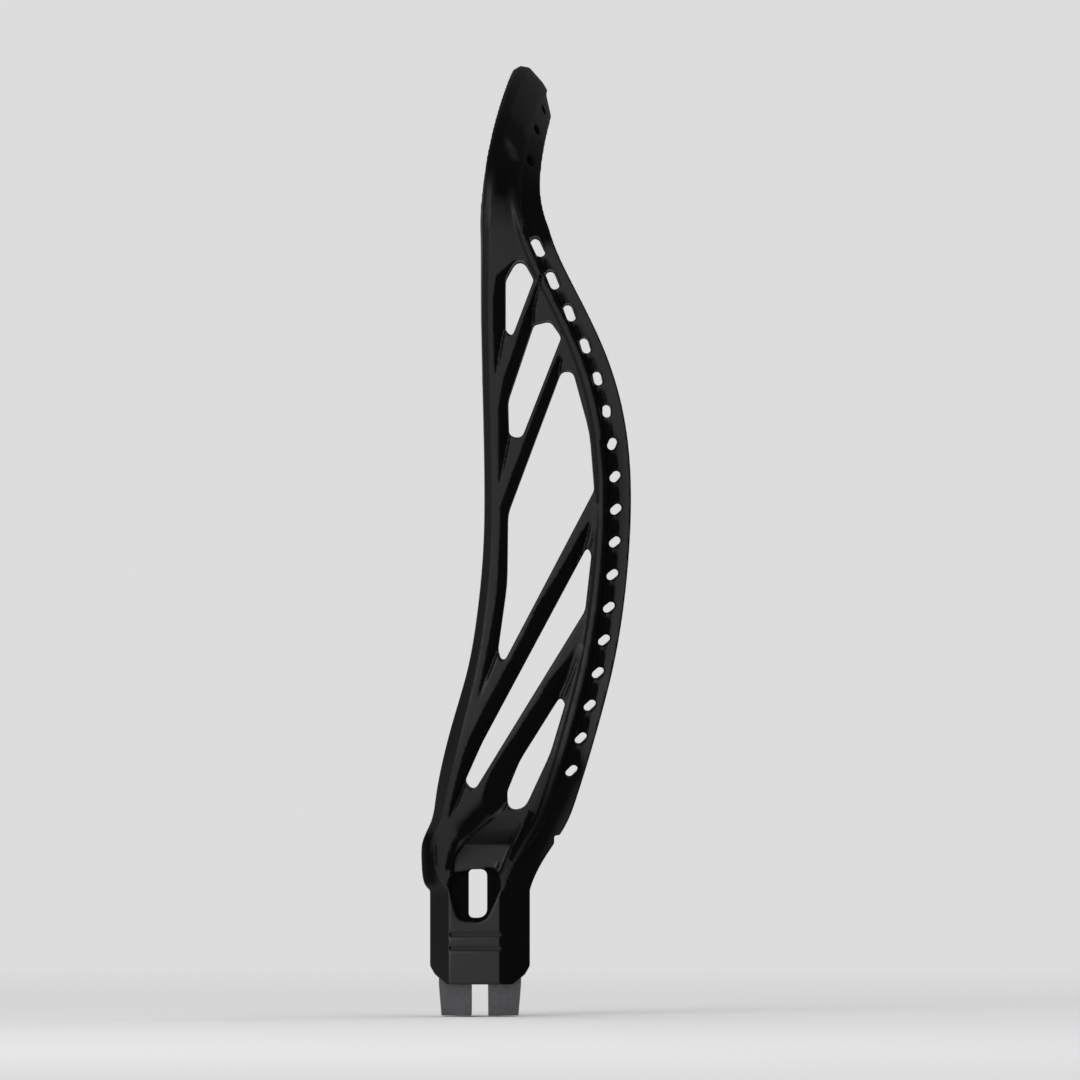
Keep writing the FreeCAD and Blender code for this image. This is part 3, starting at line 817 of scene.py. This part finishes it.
    def _emboss(self, piece: bpy.types.Object, strokes: tuple[Stroke, ...]) -> None:
        """Moves the skin in or out across the head by the strokes' heights.

        A point moves by the whole height where it is the outermost at its place on the side, and less
        with its depth under that, down to nothing at rib_depth, so that the walls of holes bend smoothly.

        Args:
            piece: the dense skin.
            strokes: the ribs and grooves.
        """
        points, outward = positions(piece), outward_share(piece)
        sides = SideHeights(points, outward)
        under = sides.read(sides.spread(2 * GRID_CELL), points) - np.abs(points[:, 1])
        hold = smooth_step(-under, -self.rib_depth, 0.0)
        lift = sum(stroke.lift(points[:, [0, 2]]) for stroke in strokes)
        points[:, 1] += np.sign(points[:, 1]) * lift * hold
        piece.data.vertices.foreach_set("co", (points / TO_MM).astype(np.float32).ravel())
        piece.data.update()


@dataclass
class LockSleeve:
    """The cloudy grey sleeve that grips the shaft, with softened edges."""

    voxel: float = 0.00030
    soften_rounds: int = 3
    finish: MilkyNylon = field(default_factory=MilkyNylon)

    def build(self) -> bpy.types.Object:
        """Makes the sleeve's skin.

        Returns:
            The sleeve.
        """
        piece = joined_copy("milky_sleeve", ("lock_sleeve",))
        soft_skin(piece, self.voxel, self.soften_rounds)
        piece.data.materials.clear()
        piece.data.materials.append(self.finish.build())
        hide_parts("lock_sleeve")
        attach(piece, "sleeve")
        return piece


@dataclass
class BallStopPad:
    """The foam pad, bowed to the ball stop: a block with rounded edges wrapped round an arc."""

    rows: int = 97
    columns: int = 65
    thickness: float = 0.0050
    arc_radius: float = 0.0377
    inset: float = 0.0002
    roundness: float = 5.0
    finish: ClosedCellFoam = field(default_factory=ClosedCellFoam)

    def build(self) -> bpy.types.Object:
        """Wraps a rounded pillow round the ball stop's arc.

        Two angles go round and along a superellipsoid, whose high power makes a block with rounded edges.
        Its length runs along an arc, its width along X, and its thickness towards the arc's centre.

        Returns:
            The pad.
        """
        low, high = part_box("ball_stop_pad")
        low = np.array(low) + self.inset
        high = np.array(high) - self.inset
        width = high[0] - low[0]
        thickness = self.thickness - 2 * self.inset
        radius = self.arc_radius - self.inset
        arc = 2 * math.asin(min(1.0, high[1] / radius))
        u = np.linspace(0, 2 * math.pi, self.rows)[:-1]
        v = np.linspace(-math.pi / 2, math.pi / 2, self.columns)[1:-1]
        uu, vv = np.meshgrid(u, v, indexing="ij")
        along = self._squared(np.cos(uu)) * self._squared(np.cos(vv))
        across = self._squared(np.sin(uu)) * self._squared(np.cos(vv))
        depth = self._squared(np.sin(vv))
        angle = along * arc / 2
        reach = radius - thickness / 2 - depth * thickness / 2
        centre_z = low[2] + radius
        points = np.stack([low[0] + width / 2 + across * width / 2, reach * np.sin(angle),
                           centre_z - reach * np.cos(angle)], axis=-1)
        return self._closed(points)

    def _squared(self, value: np.ndarray) -> np.ndarray:
        """A sine or cosine raised to the superellipsoid's power, with its sign kept."""
        return np.sign(value) * np.abs(value) ** (2.0 / self.roundness)

    def _closed(self, points: np.ndarray) -> bpy.types.Object:
        """Joins the grid into quads, closes both poles and dresses the pad.

        Args:
            points: rows by columns by 3 positions; the rows go round and close on themselves.

        Returns:
            The pad.
        """
        rows, columns = points.shape[:2]
        number = np.arange(rows * columns).reshape(rows, columns)
        ahead = np.roll(number, -1, axis=0)
        quads = np.stack([number[:, :-1], ahead[:, :-1], ahead[:, 1:], number[:, 1:]], axis=-1)
        quads = quads.reshape(-1, 4)
        poles = np.stack([points[:, 0].mean(axis=0), points[:, -1].mean(axis=0)])
        start, end = rows * columns, rows * columns + 1
        first = np.stack([ahead[:, 0], number[:, 0], np.full(rows, start)], axis=-1)
        last = np.stack([number[:, -1], ahead[:, -1], np.full(rows, end)], axis=-1)
        triangles = np.vstack([quads[:, [0, 1, 2]], quads[:, [0, 2, 3]], first, last])
        piece = mesh_object("foam_pad", np.vstack([points.reshape(-1, 3), poles]), triangles)
        turn_outwards(piece)
        piece.data.materials.append(self.finish.build())
        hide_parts("ball_stop_pad")
        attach(piece, "head")
        return piece


def turn_outwards(piece: bpy.types.Object) -> None:
    """Turns a closed mesh's faces outwards, by the sign of its volume."""
    a, b, c = mesh_points(piece.data)[mesh_triangles(piece.data)].transpose(1, 0, 2)
    if np.einsum("ij,ij->i", a, np.cross(b, c)).sum() < 0:
        piece.data.flip_normals()


@dataclass
class Studio:
    """Pale floor and backdrop, a tall soft key lamp, a small fill, and a distant camera."""

    floor_gap: float = 0.0003
    floor_start: float = 0.05
    floor_reach: float = 30.0
    floor_rings: int = 40
    floor_turns: int = 96
    lamplight_ends: tuple[float, float] = (0.35, 1.5)
    pale: float = 0.72
    lit_pale: float = 0.80
    world_light: float = 0.70
    dim_room: float = 0.22
    frame_width: float = 0.378
    aim: tuple[float, float, float] = (0.0210, 0.0, 0.1554)
    distance: float = 12.6

    def build(self) -> None:
        """Makes the floor, lamps, world and camera."""
        self._floor()
        self._world()
        self._lamp("key", (-0.80, -1.95, 0.85), (0.9, 1.6), 21.0)
        self._lamp("fill", (1.2, 0.9, 1.1), (0.8, 0.8), 2.5)
        self._camera()

    def _floor(self) -> None:
        """Round floor: a disc of rings, close together near the head and wide apart far from it."""
        rings = np.geomspace(self.floor_start, self.floor_reach, self.floor_rings)
        turns = np.linspace(0, 2 * math.pi, self.floor_turns + 1)[:-1]
        r, t = np.meshgrid(rings, turns, indexing="ij")
        level = float(CAD_BOX[0][2]) - self.floor_gap
        points = np.stack([r * np.cos(t), r * np.sin(t), np.full_like(r, level)], axis=-1).reshape(-1, 3)
        points = np.vstack([points, [[0.0, 0.0, level]]])
        number = np.arange(r.size).reshape(r.shape)
        ahead = np.roll(number, -1, axis=1)
        quads = np.stack([number[:-1], number[1:], ahead[1:], ahead[:-1]], axis=-1).reshape(-1, 4)
        hub = np.stack([np.full(self.floor_turns, r.size), number[0], ahead[0]], axis=-1)
        triangles = np.vstack([quads[:, [0, 1, 2]], quads[:, [0, 2, 3]], hub])
        floor = mesh_object("studio_floor", points, triangles)
        shade = Shade("studio_floor")
        near, distant = ((tone, tone, tone, 1.0) for tone in (self.lit_pale, self.pale))
        far = shade.add("ShaderNodeVectorMath", {"operation": "LENGTH"}, {0: shade.place()}, output="Value")
        lit = shade.add("ShaderNodeBsdfDiffuse", inputs={"Color": near})
        glow = shade.add("ShaderNodeEmission", inputs={"Color": distant})
        seen = shade.add("ShaderNodeMixShader",
                         inputs={0: shade.ramp(far, *self.lamplight_ends), 1: lit, 2: glow})
        floor.data.materials.append(shade.end(seen))

    def _world(self) -> None:
        """Even light all round, with the pale backdrop for the camera, clear plastic and gloss.

        Gloss sees the backdrop behind the head and a dimmer room in front of it.
        """
        shade = Shade("studio", world=True)
        path = shade.add("ShaderNodeLightPath", output="Is Camera Ray")
        gloss = path.also("Is Glossy Ray")
        straight = shade.add("ShaderNodeMath", {"operation": "MAXIMUM"},
                             {0: path, 1: path.also("Is Transmission Ray")})
        view = shade.add("ShaderNodeTexCoord", output="Generated")
        behind = shade.add("ShaderNodeSeparateXYZ", inputs={"Vector": view}, output="Y")
        room = self.dim_room + shade.ramp(behind, 0.1, 0.8) * (self.pale - self.dim_room)
        strength = straight * self.pale + gloss * room
        either = shade.add("ShaderNodeMath", {"operation": "MAXIMUM"}, {0: straight, 1: gloss})
        strength = strength + (1.0 - either) * self.world_light
        white = (1.0, 1.0, 1.0, 1.0)
        bpy.context.scene.world = shade.end(shade.add("ShaderNodeBackground",
                                                      inputs={"Color": white, "Strength": strength}))

    def _lamp(self, name: str, place: tuple[float, float, float], size: tuple[float, float],
              power: float) -> None:
        """Adds an oblong soft lamp that points at the head's middle.

        Args:
            name: the lamp's name.
            place: where it stands, in metres.
            size: width and height in metres.
            power: watts.
        """
        data = bpy.data.lights.new(name, "AREA")
        data.shape = "RECTANGLE"
        data.size, data.size_y = size
        data.energy = power
        lamp = bpy.data.objects.new(name, data)
        bpy.context.scene.collection.objects.link(lamp)
        lamp.location = place
        lamp.rotation_mode = "QUATERNION"
        lamp.rotation_quaternion = (Vector(self.aim) - Vector(place)).to_track_quat("-Z", "Y")

    def _camera(self) -> None:
        """Long lens, far off along -Y, level with the frame's middle."""
        data = bpy.data.cameras.new("camera")
        data.sensor_width = 36.0
        data.lens = data.sensor_width * self.distance / self.frame_width
        data.clip_start = 1.0
        data.clip_end = 200.0
        camera = bpy.data.objects.new("camera", data)
        bpy.context.scene.collection.objects.link(camera)
        camera.location = (self.aim[0], self.aim[1] - self.distance, self.aim[2])
        camera.rotation_euler = (math.pi / 2, 0.0, 0.0)
        bpy.context.scene.camera = camera


def main() -> None:
    """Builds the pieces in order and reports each."""
    logging.basicConfig(level=logging.INFO, format="%(name)s: %(message)s")
    bpy.context.scene.view_settings.view_transform = "Standard"
    for maker in (Moulding(), LockSleeve(), BallStopPad()):
        piece = maker.build()
        log.info("%s: %d faces", piece.name, len(piece.data.polygons))
    Studio().build()


if __name__ == "__main__":
    main()
